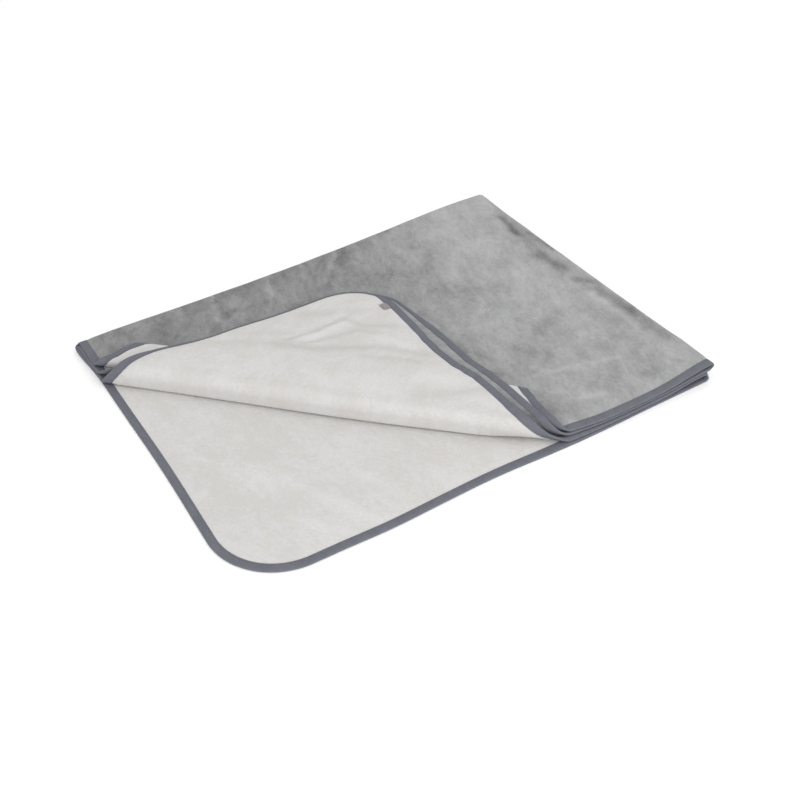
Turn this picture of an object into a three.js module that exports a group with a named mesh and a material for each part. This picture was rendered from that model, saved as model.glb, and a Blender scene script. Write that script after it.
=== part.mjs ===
// A sherpa blanket, 2.0 m by 1.5 m, folded in half twice and laid flat.
// The three upper corners at the loose end are turned back together to show the white side.
// Millimetres, +Z up. +X runs along the long side, +Y from the front edge to the second fold.
import * as THREE from 'three';

// The open blanket and its two cloths
const BLANKET = { halfLength: 1000, halfWidth: 750, cornerRadius: 130, cornerSteps: 6 };
const CLOTH = { grey: 2.1, white: 2.6, seam: 0.3, air: 0.9 };

// The tape round the edge, and the cloth pressed thinner under it
const TAPE = { width: 16, end: 1.2, clearance: 0.6, pressFrom: 27, pressDepth: 1.9 };

// The blank label, sewn in at the turned-back corner. Angles are round that corner, in degrees.
const LABEL = { from: 72, to: 84, steps: 2, reach: 16, thick: 0.6, clearance: 0.35 };

// The first fold runs along x = 1000, the second along y = 750
const FIRST_FOLD = { radius: 8.2, half: 12.9, closesOver: 70, closesOverBack: 240 };
const SECOND_FOLD = { half: 18, loft: 7.5, loftX: 960, loftWidth: 260, loftDepth: 230 };

// Corners turned back over a diagonal x + y = axis, which leans a little. Radii are in plies.
const TURNS = [
  { ply: 2, axis: 649, lean: 0.0277, radius: 3.5, bulge: 0.35 },
  { ply: 3, axis: 656, lean: 0.026, radius: 2.5, bulge: 0 },
  { ply: 4, axis: 667, lean: 0.008, radius: 1.5, bulge: 0 },
];
// The top ply is pleated: its band runs back to a crease, forward under itself, and back again
const PLEAT = { band: 61, bandLean: 0.024, setBack: 6 };
// The flaps over the pleat sink past its crease, and again past its tip. Depths are in plies.
const SINK = { after: 16, over: 150, steps: 5, tip: 330, tipOver: 110 };
const SINK_DEPTHS = {
  2: { crease: 1.7, tip: 0.45, tipAtBack: 0.2 },
  3: { crease: 1.9, tip: 0.9, tipAtBack: 0.9 },
};

// Cuts of the open cloth, from the fold or the middle outward, in millimetres
const CUTS = {
  alongLength: [45, 100, 180, 290, 350, 410, 540, 660, 770, 870],
  alongWidth: [70, 160, 270, 390, 500, 610, 690],
  roundFold: 3,
  roundTurn: 5,
  roundPleat: 3,
  pastTurn: [30],
};
const SNAP = 0.6;

const PLY = CLOTH.grey + CLOTH.seam + CLOTH.white;
const HALF_PLY = PLY / 2;
const PITCH = PLY + CLOTH.air;
const GREY_SIDE = -CLOTH.grey - CLOTH.seam / 2;
const WHITE_SIDE = CLOTH.white + CLOTH.seam / 2;
const MIDDLE = (GREY_SIDE + WHITE_SIDE) / 2;
const TURN_HEIGHT = HALF_PLY + 4.5 * PITCH;
const TOP_AXIS = TURNS.find((row) => row.ply === 4).axis;
const ROOT2 = Math.SQRT2;

const clamp = (x, low, high) => Math.min(Math.max(x, low), high);
const smooth = (x) => {
  const t = clamp(x, 0, 1);
  return t * t * (3 - 2 * t);
};
const hump = (x, centre, width) => Math.exp(-(((x - centre) / width) ** 2));
// Cosine and sine of a share of half a turn, straight between steps, so that cloth bends in flats
function around(share, steps) {
  const at = clamp(share, 0, 1) * steps;
  const low = Math.min(Math.floor(at), steps - 1);
  const [one, two] = [low, low + 1].map((step) => (step * Math.PI) / steps);
  const part = at - low;
  return {
    cos: Math.cos(one) * (1 - part) + Math.cos(two) * part,
    sin: Math.sin(one) * (1 - part) + Math.sin(two) * part,
  };
}

const levelOf = (ply) => HALF_PLY + (ply - 1) * PITCH;

// Plies from the floor up: 1 lies white side up, 2 white down, 3 white up, 4 white down
function plyOf(p, q) {
  if (q >= 0) return p >= 0 ? 1 : 2;
  return p >= 0 ? 4 : 3;
}

// Both halvings: the white side goes inside the first fold, and the second fold wraps it all
function halveTwice(p, q, u) {
  const a = Math.abs(p);
  const b = Math.abs(q);
  const depth = BLANKET.halfWidth - b;
  const back = (depth / BLANKET.halfWidth) ** 2;
  const { radius, half, closesOver, closesOverBack } = FIRST_FOLD;
  const reach = closesOver + (closesOverBack - closesOver) * back;
  const away = Math.max(a - half, 0);
  const rest = HALF_PLY + CLOTH.air / 2;
  const open = rest + (radius - rest) * Math.exp(-((away / reach) ** 2));
  const turn = around((p / half + 1) / 2, 2 * CUTS.roundFold);
  const inFirst = a < half;
  const arm = (inFirst ? radius : open) - u;
  const lift = arm * turn.cos;
  const x = inFirst ? BLANKET.halfLength - half + arm * turn.sin : BLANKET.halfLength - a;

  const wide = SECOND_FOLD;
  const loft = wide.loft * hump(x, wide.loftX, wide.loftWidth) * hump(depth, 760, wide.loftDepth);
  const bend = open + HALF_PLY + CLOTH.air / 2 + loft;
  const over = around((q / wide.half + 1) / 2, 2 * CUTS.roundFold);
  const wrap = bend - lift;
  const y = b < wide.half ? BLANKET.halfWidth - wide.half + wrap * over.sin : depth;
  const z = open + HALF_PLY + bend + wrap * over.cos;
  return { x, y, z };
}

// The top ply past its turn: band, crease, return under the band, second crease, tip
function pleat(past, band, off, radius) {
  const r = PITCH / 2;
  const top = TURN_HEIGHT + radius;
  const crease = past - band;
  if (crease <= 0) return { s: -past, z: top - off };
  const arc = Math.PI * r;
  if (crease < arc) {
    const { cos, sin } = around(crease / arc, CUTS.roundPleat);
    return { s: -band - (r - off) * sin, z: top - r + (r - off) * cos };
  }
  const under = crease - arc;
  const length = band - PLEAT.setBack;
  if (under <= length) return { s: -band + under, z: top - 2 * r + off };
  if (under < length + arc) {
    const { cos, sin } = around((under - length) / arc, CUTS.roundPleat);
    return { s: length - band + (r + off) * sin, z: top - 3 * r + (r + off) * cos };
  }
  return { s: 2 * length - band + arc - under, z: top - 4 * r - off };
}

// How the white flap on top is pulled about in its plane
function pullWhiteFlap(x, y) {
  const spread = 14 * (1 - smooth((x - 110) / 90)) - 2 + 8 * hump(x, 480, 70);
  return {
    moveX: (-4 - 19 * hump(y, 310, 85)) * smooth(x / 600),
    moveY: spread * smooth(y / 600),
  };
}

// The grey flap under it is drawn in at the back and lies askew at the side
function pullGreyFlap(x, y) {
  const right = smooth((x - y + 260) / 420);
  return {
    moveX: right * (-1 - 11 * smooth((y - 20) / 450)),
    moveY: (1 - right) * -34,
  };
}

function sinkAt(ply, x, y) {
  const t = (x - y) / ROOT2;
  const out = (x + y - TOP_AXIS) / ROOT2;
  const crease = smooth((out - PLEAT.band - PLEAT.bandLean * t - SINK.after) / SINK.over);
  const pastTip = smooth((out + Math.abs(t) - SINK.tip) / SINK.tipOver);
  const depth = SINK_DEPTHS[ply];
  const back = smooth((y - 430) / 110);
  const tip = depth.tip + (depth.tipAtBack - depth.tip) * back;
  return PITCH * crease * (depth.crease + tip * pastTip);
}

function turnBack(ply, at) {
  const turn = TURNS.find((row) => row.ply === ply);
  const t = (at.x - at.y) / ROOT2;
  const axis = turn.axis + turn.lean * t;
  const s = (axis - at.x - at.y) / ROOT2;
  if (s <= 0) return at;
  const radius = turn.radius * PITCH;
  const off = at.z - levelOf(ply);
  const arc = around(s / (Math.PI * radius), CUTS.roundTurn);
  const arm = radius - off;
  const past = Math.max(s - Math.PI * radius, 0);
  const swell = 1 + turn.bulge * hump(t, 60, 260);
  let lay = { s: arm * arc.sin * swell, z: TURN_HEIGHT - arm * arc.cos };
  if (past > 0 && ply === 4) lay = pleat(past, PLEAT.band + PLEAT.bandLean * t, off, radius);
  if (past > 0 && ply < 4) lay = { s: -past, z: TURN_HEIGHT + arm };
  const x = (axis - ROOT2 * lay.s + ROOT2 * t) / 2;
  const y = (axis - ROOT2 * lay.s - ROOT2 * t) / 2;
  if (past === 0) return { x, y, z: lay.z };
  const ramp = smooth(past / 40);
  if (ply === 4) return { x: x + 8 * ramp * smooth((t - 100) / 150), y, z: lay.z };
  const pull = ply === 2 ? pullWhiteFlap(x, y) : pullGreyFlap(x, y);
  const laidX = x + ramp * pull.moveX;
  const laidY = y + ramp * pull.moveY;
  return { x: laidX, y: laidY, z: lay.z - sinkAt(ply, laidX, laidY) };
}

// Small sways that every ply shares, so none of them meet
function sway({ x, y, z }) {
  const front = hump(y, 0, 150);
  const high = clamp(z / 26, 0, 1.6);
  const lean = Math.exp(-Math.max(y, 0) / 70);
  const moveX = 10 * smooth((z - 12) / 14) * lean * smooth((x - 860) / 140);
  const atX = x + moveX;
  const setBack = high * 11 * hump(atX, 645, 75) * hump(y, 0, 80);
  const wave = 3 * (hump(atX, 520, 120) - hump(atX, 250, 110) - smooth((atX - 620) / 120));
  return [atX, y + setBack + wave * front, z];
}

// From a point of the open blanket, (p, q) in its plane and w through it, to the folded one
function folded([p, q, w]) {
  const ply = plyOf(p, q);
  const once = halveTwice(p, q, w - MIDDLE);
  return sway(ply === 1 ? once : turnBack(ply, once));
}

// The blanket's outline, moved in by inset, as a ring of [p, q]
function outline(inset) {
  const { halfLength, halfWidth, cornerRadius, cornerSteps } = BLANKET;
  const r = cornerRadius - inset;
  const ring = [];
  for (let corner = 0; corner < 4; corner += 1) {
    const signP = corner === 0 || corner === 3 ? 1 : -1;
    const signQ = corner < 2 ? 1 : -1;
    for (let step = 0; step <= cornerSteps; step += 1) {
      const angle = ((corner + step / cornerSteps) * Math.PI) / 2;
      ring.push([
        signP * (halfLength - cornerRadius) + r * Math.cos(angle),
        signQ * (halfWidth - cornerRadius) + r * Math.sin(angle),
      ]);
    }
  }
  return ring;
}

// The lines that the open cloth is bent along, as { a, b, c } of a p + b q = c
function foldLines(signP, signQ) {
  const lines = [];
  for (let i = 1; i <= CUTS.roundFold; i += 1) {
    lines.push({ a: 1, b: 0, c: (signP * FIRST_FOLD.half * i) / CUTS.roundFold });
    lines.push({ a: 0, b: 1, c: (signQ * SECOND_FOLD.half * i) / CUTS.roundFold });
  }
  CUTS.alongLength.forEach((at) => lines.push({ a: 1, b: 0, c: signP * at }));
  CUTS.alongWidth.forEach((at) => lines.push({ a: 0, b: 1, c: signQ * at }));
  return lines;
}

// Distances s past a turn's axis at which its corner bends
function turnStations(turn) {
  const radius = turn.radius * PITCH;
  const end = Math.PI * radius;
  const stations = [];
  for (let i = 0; i <= CUTS.roundTurn; i += 1) {
    stations.push({ s: (end * i) / CUTS.roundTurn, lean: 0 });
  }
  CUTS.pastTurn.forEach((more) => stations.push({ s: end + more, lean: 0 }));
  const lean = PLEAT.bandLean;
  const crease = end + PLEAT.band;
  if (turn.ply < 4) {
    for (let i = 0; i <= SINK.steps; i += 1) {
      stations.push({ s: crease + SINK.after + (SINK.over * i) / SINK.steps, lean });
    }
    return stations;
  }
  const arc = (Math.PI * PITCH) / 2;
  const second = crease + arc + PLEAT.band - PLEAT.setBack;
  for (let i = 0; i <= CUTS.roundPleat; i += 1) {
    stations.push({ s: crease + (arc * i) / CUTS.roundPleat, lean });
    stations.push({ s: second + (arc * i) / CUTS.roundPleat, lean: 2 * lean });
  }
  return stations;
}

// The same stations as lines of the open cloth: x = halfLength - |p| and y = halfWidth - |q|
function turnLines(ply, signP, signQ) {
  const turn = TURNS.find((row) => row.ply === ply);
  if (!turn) return [];
  return turnStations(turn).map(({ s, lean }) => {
    const k = turn.lean / ROOT2 - lean;
    const alongX = 1 - k;
    const alongY = 1 + k;
    const reach = alongX * BLANKET.halfLength + alongY * BLANKET.halfWidth;
    return { a: signP * alongX, b: signQ * alongY, c: reach - turn.axis + ROOT2 * s };
  });
}

// Both halves of a flat polygon of [p, q, w] points. Points within SNAP of the line lie on it.
function split(polygon, { a, b, c }) {
  const size = Math.hypot(a, b);
  const sides = polygon.map(([p, q]) => {
    const d = (a * p + b * q - c) / size;
    return Math.abs(d) < SNAP ? 0 : d;
  });
  const over = [];
  const under = [];
  polygon.forEach((point, i) => {
    const j = (i + 1) % polygon.length;
    if (sides[i] >= 0) over.push(point);
    if (sides[i] <= 0) under.push(point);
    if (sides[i] * sides[j] < 0) {
      const share = sides[i] / (sides[i] - sides[j]);
      const cut = point.map((v, k) => v + (polygon[j][k] - v) * share);
      over.push(cut);
      under.push(cut);
    }
  });
  const isFace = (part, sign) => part.length > 2 && sides.some((d) => d * sign > 0);
  return [isFace(over, 1) ? over : null, isFace(under, -1) ? under : null].filter(Boolean);
}

const splitAll = (polygons, lines) =>
  lines.reduce((parts, line) => parts.flatMap((part) => split(part, line)), polygons);

function middleOf(polygon) {
  const sum = polygon.reduce((m, point) => [m[0] + point[0], m[1] + point[1]], [0, 0]);
  return sum.map((v) => v / polygon.length);
}

const LINES = [1, -1].map((signP) =>
  [1, -1].map((signQ) => {
    const ply = plyOf(signP, signQ === 1 ? 1 : -1);
    return [...foldLines(signP, signQ), ...turnLines(ply, signP, signQ)];
  }),
);

// Cuts polygons at the two folds, then along the lines of the quarter that each lies in
function bendable(polygons) {
  const quarters = splitAll(polygons, [
    { a: 1, b: 0, c: 0 },
    { a: 0, b: 1, c: 0 },
  ]);
  return quarters.flatMap((part) => {
    const [p, q] = middleOf(part);
    return splitAll([part], LINES[p > 0 ? 0 : 1][q > 0 ? 0 : 1]);
  });
}

// Length of a side, a little skewed, so that stacked plies choose the same of two equal ones
function skewSpan(one, two) {
  const a = Math.abs(two[0]) - Math.abs(one[0]);
  const b = Math.abs(two[1]) - Math.abs(one[1]);
  return Math.hypot(a + 0.05 * b, b, two[2] - one[2]);
}

// Ears with the shortest new side first, so that the triangles stay stout
function triangles(polygon) {
  const left = [...polygon];
  const found = [];
  while (left.length > 3) {
    let best = null;
    left.forEach((tip, i) => {
      const before = left[(i + left.length - 1) % left.length];
      const after = left[(i + 1) % left.length];
      const one = tip.map((v, k) => v - before[k]);
      const two = after.map((v, k) => v - tip[k]);
      const area = Math.hypot(
        one[0] * two[1] - one[1] * two[0],
        one[1] * two[2] - one[2] * two[1],
        one[2] * two[0] - one[0] * two[2],
      );
      const span = skewSpan(before, after);
      if (area > 1e-3 && (!best || span < best.span)) best = { i, span, ear: [before, tip, after] };
    });
    if (!best) break;
    found.push(best.ear);
    left.splice(best.i, 1);
  }
  found.push(left);
  return found;
}

// A strip between two rings of the outline, each at an inset and a height through the cloth
function strip(from, to) {
  const one = outline(from.inset);
  const two = outline(to.inset);
  return one.map(([p, q], i) => {
    const j = (i + 1) % one.length;
    return [
      [p, q, from.w],
      [one[j][0], one[j][1], from.w],
      [two[j][0], two[j][1], to.w],
      [two[i][0], two[i][1], to.w],
    ];
  });
}

const inside = (inset, w) => [outline(inset).map(([p, q]) => [p, q, w])];
const reversed = (polygons) => polygons.map((polygon) => [...polygon].reverse());

// One of the two cloths: pressed thinner towards its edge, under the tape
function clothFaces(outer, inner) {
  const { pressFrom, pressDepth, end, clearance } = TAPE;
  const edge = end + clearance;
  const pressed = outer - Math.sign(outer) * pressDepth;
  const faces = [
    ...inside(pressFrom, outer),
    ...strip({ inset: edge, w: pressed }, { inset: pressFrom, w: outer }),
    ...strip({ inset: edge, w: inner }, { inset: edge, w: pressed }),
    ...reversed(inside(edge, inner)),
  ];
  return outer > inner ? faces : reversed(faces);
}

// The tape: folded over the edge, its two legs lying in the pressed cloth
function tapeFaces() {
  const { width, end, clearance, pressFrom, pressDepth } = TAPE;
  const edge = end + clearance;
  const depthAt = (inset) => (pressDepth * (pressFrom - inset)) / (pressFrom - edge) - clearance;
  const profile = [
    { inset: width, w: WHITE_SIDE },
    { inset: 0, w: WHITE_SIDE },
    { inset: 0, w: GREY_SIDE },
    { inset: width, w: GREY_SIDE },
    { inset: width, w: GREY_SIDE + depthAt(width) },
    { inset: end, w: GREY_SIDE + depthAt(end) },
    { inset: end, w: WHITE_SIDE - depthAt(end) },
    { inset: width, w: WHITE_SIDE - depthAt(width) },
  ];
  return profile.flatMap((from, i) => strip(profile[(i + 1) % profile.length], from));
}

// The label's closed box, bent to the round corner that it is sewn at
function labelFaces() {
  const { from, to, steps, reach, thick, clearance } = LABEL;
  const { halfLength, halfWidth, cornerRadius } = BLANKET;
  const at = (step, inset, w) => {
    const angle = THREE.MathUtils.degToRad(from + ((to - from) * step) / steps);
    const r = cornerRadius - inset;
    return [
      -(halfLength - cornerRadius) - r * Math.cos(angle),
      halfWidth - cornerRadius + r * Math.sin(angle),
      w,
    ];
  };
  const near = TAPE.width + clearance;
  const ring = [
    { inset: near, w: WHITE_SIDE + clearance },
    { inset: near, w: WHITE_SIDE + clearance + thick },
    { inset: near + reach, w: WHITE_SIDE + clearance + thick },
    { inset: near + reach, w: WHITE_SIDE + clearance },
  ];
  const faces = [];
  for (let step = 0; step < steps; step += 1) {
    ring.forEach((one, i) => {
      const two = ring[(i + 1) % ring.length];
      faces.push([
        at(step, one.inset, one.w),
        at(step + 1, one.inset, one.w),
        at(step + 1, two.inset, two.w),
        at(step, two.inset, two.w),
      ]);
    });
  }
  faces.push(ring.map((point) => at(0, point.inset, point.w)));
  faces.push(ring.map((point) => at(steps, point.inset, point.w)).reverse());
  return reversed(faces);
}

// Folds cut polygons and welds them into one closed body
function bodyOf(polygons) {
  const positions = [];
  const indices = [];
  const known = new Map();
  const indexOf = (point) => {
    const key = point.map((v) => Math.round(v * 1e4)).join(' ');
    if (!known.has(key)) {
      known.set(key, positions.length / 3);
      positions.push(...folded(point));
    }
    return known.get(key);
  };
  polygons.flatMap(triangles).forEach((corners) => {
    const [i, j, k] = corners.map(indexOf);
    if (i !== j && j !== k && k !== i) indices.push(i, j, k);
  });
  const geometry = new THREE.BufferGeometry();
  geometry.setAttribute('position', new THREE.Float32BufferAttribute(positions, 3));
  geometry.setIndex(indices);
  return geometry;
}

const PIECES = [
  {
    name: 'grey_cloth',
    polygons: bendable(clothFaces(GREY_SIDE, -CLOTH.seam / 2)),
    look: { color: 0x97979a, roughness: 0.88, metalness: 0 },
  },
  {
    name: 'white_cloth',
    polygons: bendable(clothFaces(WHITE_SIDE, CLOTH.seam / 2)),
    look: { color: 0xdbd8d3, roughness: 0.95, metalness: 0 },
  },
  {
    name: 'edge_tape',
    polygons: bendable(tapeFaces()),
    look: { color: 0x74767f, roughness: 0.8, metalness: 0 },
  },
  {
    name: 'label',
    polygons: labelFaces(),
    look: { color: 0xa3908c, roughness: 0.7, metalness: 0 },
  },
];

const blanket = new THREE.Group();
blanket.name = 'blanket';
const bounds = new THREE.Box3();
PIECES.forEach(({ name, polygons, look }) => {
  const mesh = new THREE.Mesh(bodyOf(polygons), new THREE.MeshStandardMaterial(look));
  mesh.name = name;
  blanket.add(mesh);
  bounds.expandByObject(mesh);
});

// The part's origin: the middle of its outline, on the floor
const middle = bounds.getCenter(new THREE.Vector3());
blanket.children.forEach((mesh) => {
  mesh.geometry.translate(-middle.x, -middle.y, -bounds.min.z);
  mesh.geometry.computeVertexNormals();
});

export default blanket;
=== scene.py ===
# %% [markdown]
# # A folded sherpa blanket
# The blanket is two cloths sewn back to back: brushed grey fleece and off-white sherpa pile.
# A woven tape runs round the raw edge. It is folded in half twice and laid flat, and its upper
# corners are turned back together. Here each cloth is made flat first, at its real size, and one
# function then folds it. That is how the real one is made, so every layer keeps its true length.

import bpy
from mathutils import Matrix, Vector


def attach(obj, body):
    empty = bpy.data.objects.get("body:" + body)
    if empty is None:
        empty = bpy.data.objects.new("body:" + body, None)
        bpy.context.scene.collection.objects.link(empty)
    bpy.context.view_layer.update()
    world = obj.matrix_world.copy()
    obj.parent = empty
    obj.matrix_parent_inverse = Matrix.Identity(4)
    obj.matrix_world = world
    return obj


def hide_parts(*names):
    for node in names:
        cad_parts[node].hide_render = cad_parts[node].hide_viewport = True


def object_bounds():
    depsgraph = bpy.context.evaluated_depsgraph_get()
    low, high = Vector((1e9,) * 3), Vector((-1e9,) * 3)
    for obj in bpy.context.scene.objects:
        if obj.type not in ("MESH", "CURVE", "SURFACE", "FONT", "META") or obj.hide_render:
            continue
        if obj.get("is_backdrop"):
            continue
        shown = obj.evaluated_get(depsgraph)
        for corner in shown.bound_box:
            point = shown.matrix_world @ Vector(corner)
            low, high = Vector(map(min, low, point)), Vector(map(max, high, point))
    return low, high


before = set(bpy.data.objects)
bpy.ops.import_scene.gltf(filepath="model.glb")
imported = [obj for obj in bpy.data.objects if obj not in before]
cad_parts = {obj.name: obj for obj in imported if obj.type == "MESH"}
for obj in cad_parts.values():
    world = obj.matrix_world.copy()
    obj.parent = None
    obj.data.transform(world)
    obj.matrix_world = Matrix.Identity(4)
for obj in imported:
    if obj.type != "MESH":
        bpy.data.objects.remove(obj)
cad_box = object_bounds()
print("nodes in the frame:", sorted(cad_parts))

# %% Import what the steps use
from collections import namedtuple
from math import cos, degrees, pi, radians, sin, sqrt

import bmesh
import bpy
import numpy as np
from mathutils import Matrix, Vector, noise

# %% [markdown]
# ## Sizes
# A maker thinks in flat sizes, so these are the open blanket's own, in millimetres. A point of it
# is (p, q, w): p and q run along its length and width from its middle, and w runs through its
# thickness, towards the white side. One ply of the folded blanket is both cloths together.

# %% Sizes of the open blanket
HALF_LENGTH = 1000
HALF_WIDTH = 750
CORNER = 130
GREY_THICK = 2.1
WHITE_THICK = 2.6
SEAM = 0.3
AIR = 0.9
TAPE_WIDTH = 16

PLY = GREY_THICK + SEAM + WHITE_THICK
HALF_PLY = PLY / 2
PITCH = PLY + AIR
GREY_SIDE = -GREY_THICK - SEAM / 2
WHITE_SIDE = WHITE_THICK + SEAM / 2
MIDDLE = (GREY_SIDE + WHITE_SIDE) / 2
ROOT2 = sqrt(2)

# %% [markdown]
# ## Helpers for soft shapes
# Cloth has no hard steps, so each change from one state to the next is eased. smooth goes from
# 0 to 1 as its value does, with a flat start and end. step does that from a start on, over a
# given width, and hump is a soft hill of height 1 round its centre. So a number in a step or a
# hump is always a place on the blanket or a width, in millimetres.

# %% Soft steps and hills
def smooth(value):
    t = np.clip(value, 0, 1)
    return t * t * (3 - 2 * t)


def step(x, start, over):
    return smooth((x - start) / over)


def hump(x, centre, width):
    return np.exp(-(((x - centre) / width) ** 2))


def inset_of(p, q):
    """How far inside the blanket's edge a point lies."""
    a = np.abs(p) - (HALF_LENGTH - CORNER)
    b = np.abs(q) - (HALF_WIDTH - CORNER)
    round_part = CORNER - np.hypot(a, b)
    return np.where((a > 0) & (b > 0), round_part, CORNER - np.maximum(a, b))


print("inset at the middle of a long side:", float(inset_of(0, HALF_WIDTH)))

# %% [markdown]
# ## Folding in half twice
# The first fold closes the blanket's length with the white side inside, and the second closes
# its width round it. A simulation could do this, but four stacked plies rarely settle without
# cutting into each other. A formula keeps each ply at its own level, with the fold as a round
# bend whose inside plies are tighter. The first bend closes a little towards the open front, and
# the stack swells softly near the place where the two bends meet.

# %% The two halvings
FIRST_RADIUS = 8.2
FRONT_CLOSES = 2.2
FRONT_OVER = 45
FIRST_HALF = 12.9
CLOSES_OVER = 70
CLOSES_OVER_BACK = 240
SECOND_HALF = 18
LOFT = 5.8


def level_of(ply):
    return HALF_PLY + (ply - 1) * PITCH


def halve_twice(p, q, u):
    """A point of the open blanket, u from its middle layer, once both folds are closed."""
    a, b = np.abs(p), np.abs(q)
    depth = HALF_WIDTH - b
    reach = CLOSES_OVER + (CLOSES_OVER_BACK - CLOSES_OVER) * (depth / HALF_WIDTH) ** 2
    rest = HALF_PLY + AIR / 2
    away = np.maximum(a - FIRST_HALF, 0)
    first = FIRST_RADIUS - FRONT_CLOSES * np.exp(-depth / FRONT_OVER)
    opening = rest + (first - rest) * np.exp(-((away / reach) ** 2))
    turn = np.clip(p / FIRST_HALF, -1, 1) * pi / 2
    in_first = a < FIRST_HALF
    arm = np.where(in_first, first, opening) - u
    lift = -arm * np.sin(turn)
    bent_x = HALF_LENGTH - FIRST_HALF + arm * np.cos(turn)
    x = np.where(in_first, bent_x, HALF_LENGTH - a)

    loft = LOFT * hump(x, 760, 330) * hump(depth, 760, 230)
    bend = opening + HALF_PLY + AIR / 2 + loft
    over = np.clip(q / SECOND_HALF, -1, 1) * pi / 2
    wrap = bend - lift
    bent_y = HALF_WIDTH - SECOND_HALF + wrap * np.cos(over)
    y = np.where(b < SECOND_HALF, bent_y, depth)
    return x, y, opening + HALF_PLY + bend - wrap * np.sin(over)


corner = halve_twice(np.array([1.0]), np.array([-1.0]), np.array([0.0]))
print("the closed corner lies at", [round(float(v[0]), 1) for v in corner])

# %% [markdown]
# ## Turning the corners back
# At the loose end three corners are turned back over a diagonal, one over the other. The lowest
# of them ends on top and shows its white side, so its bend is the widest. The top ply's corner
# is doubled back under itself, so only a band of it shows. The table holds what differs from ply
# to ply. An axis is the x + y at which the turn starts, a radius counts plies, and a sink says
# how many plies the corner comes down by: past the pleat, past its tip, and there at the back.

# %% Where each corner turns
Turn = namedtuple("Turn", "axis lean radius bulge sink_crease sink_tip sink_back bends")
TURNS = {
    2: Turn(649, 0.0277, 3.5, 0.3, 1.85, 0.6, 0.2, 14),
    3: Turn(656, 0.026, 2.5, 0, 1.9, 0.9, 0.9, 10),
    4: Turn(667, 0.008, 1.5, 0, 0, 0, 0, 8),
}
TURN_HEIGHT = HALF_PLY + 4.5 * PITCH
BAND = 61
BAND_LEAN = 0.036
SET_BACK = 6


def pleat(past, band, off, radius):
    """The top ply past its turn: a band, a crease, back under the band, a crease, and its tip."""
    r = PITCH / 2
    top = TURN_HEIGHT + radius
    crease = past - band
    arc = pi * r
    under = crease - arc
    length = band - SET_BACK
    one = np.clip(crease / r, 0, pi)
    two = np.clip((under - length) / r, 0, pi)
    stage = [crease <= 0, under <= 0, under <= length, under <= length + arc]
    along = [
        -past,
        -band - (r - off) * np.sin(one),
        -band + under,
        length - band + (r + off) * np.sin(two),
    ]
    height = [
        top - off,
        top - r + (r - off) * np.cos(one),
        top - 2 * r + off,
        top - 3 * r + (r + off) * np.cos(two),
    ]
    s = np.select(stage, along, 2 * length - band + arc - under)
    return s, np.select(stage, height, top - 4 * r - off)


print("the turned corners lie on a level of", round(TURN_HEIGHT, 2), "mm")

# %% [markdown]
# The turned corners aren't laid neatly. The white one is pulled about in its plane, and the grey
# one under it lies askew with its tip tucked in. No one formula gives such an edge, so a table
# says how far each corner's right edge is drawn along x at some heights y up the blanket, and
# the curve between its rows is eased. A few soft steps and hills draw the other edges.

# %% Where the turned corners' edges are drawn to
EdgePull = namedtuple("EdgePull", "y white grey top")
EDGE_PULLS = [
    (0, -14, -3, -1),
    (50, -18, -4, -2),
    (80, -18, -4, 0),
    (110, -16, -4, 4.5),
    (150, -15.5, -4, 10),
    (190, -16.5, -6.5, 11),
    (220, -22, -9, 11),
    (250, -28, -11.5, 11),
    (300, -29, -8, 11),
    (340, -26, -3.5, 11),
    (380, -20, -3.5, 11),
    (420, -17, -5, 11),
    (460, -15, -5.5, 11),
    (500, -13, -7, 11),
    (535, -3, -9, 11),
    (600, -2, -12, 11),
]
PULLS = EdgePull(*np.array(EDGE_PULLS).T)
PLEAT_DRAWN = 9
WHITE_SPREADS = 22
WHITE_BACK = 2
WHITE_HOLLOW = 4
WHITE_BULGE = 6
GREY_ASKEW = 34
GREY_TUCK = 8


def pull_at(column, y):
    """A smooth curve through a column of the table, eased from each row to the next."""
    row = np.clip(np.searchsorted(PULLS.y, y) - 1, 0, len(PULLS.y) - 2)
    low, high = PULLS.y[row], PULLS.y[row + 1]
    return column[row] + (column[row + 1] - column[row]) * step(y, low, high - low)


def pulled(ply, x, y):
    """How far a turned ply is drawn along x and along y."""
    if ply == 4:
        t = (x - y) / ROOT2
        drawn = PLEAT_DRAWN * step(-t, 150, 150) * step(x, 35, 40)
        return pull_at(PULLS.top, y) * step(t, 100, 150), drawn
    if ply == 2:
        spread = WHITE_SPREADS * (1 - step(x, 48, 155)) - WHITE_BACK
        spread = spread - WHITE_HOLLOW * hump(x, 225, 40) + WHITE_BULGE * hump(x, 575, 60)
        return pull_at(PULLS.white, y) * step(x, 0, 600), spread * step(y, 0, 600)
    right = step(x - y, -260, 420)
    tucked = GREY_TUCK * hump(np.hypot(x - 590, y - 570), 0, 55)
    return right * pull_at(PULLS.grey, y) - tucked, -GREY_ASKEW * (1 - right) - tucked


print("the white corner's right edge is drawn in by", -PULLS.white.min(), "mm at most")

# %% [markdown]
# Past the pleat that they rest on, the two turned corners come down to the plies below. The
# white one's far edge also rolls down over its own thickness, so there its tape shows only as a
# dark line. The roll is an arc of its own radius, eased in along the edge.

# %% How the turned corners sink and roll
SINK_AFTER = 16
SINK_OVER = 150
TIP_FROM = 330
TIP_OVER = 110
ROLL_WIDTH = 15.5
ROLL_RADIUS = 9
SINKS_IN = 0.35
GREY_ROLLS = 0.9


def sunk(turn, x, y):
    """How far a turned corner lies below the level of its turn."""
    t = (x - y) / ROOT2
    out = (x + y - TURNS[4].axis) / ROOT2
    crease = step(out - BAND - BAND_LEAN * t, SINK_AFTER, SINK_OVER)
    past_tip = step(out + np.abs(t), TIP_FROM, TIP_OVER)
    back = step(y, 430, 110)
    tip = turn.sink_tip + (turn.sink_back - turn.sink_tip) * back
    return PITCH * crease * (turn.sink_crease + tip * past_tip)


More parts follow.
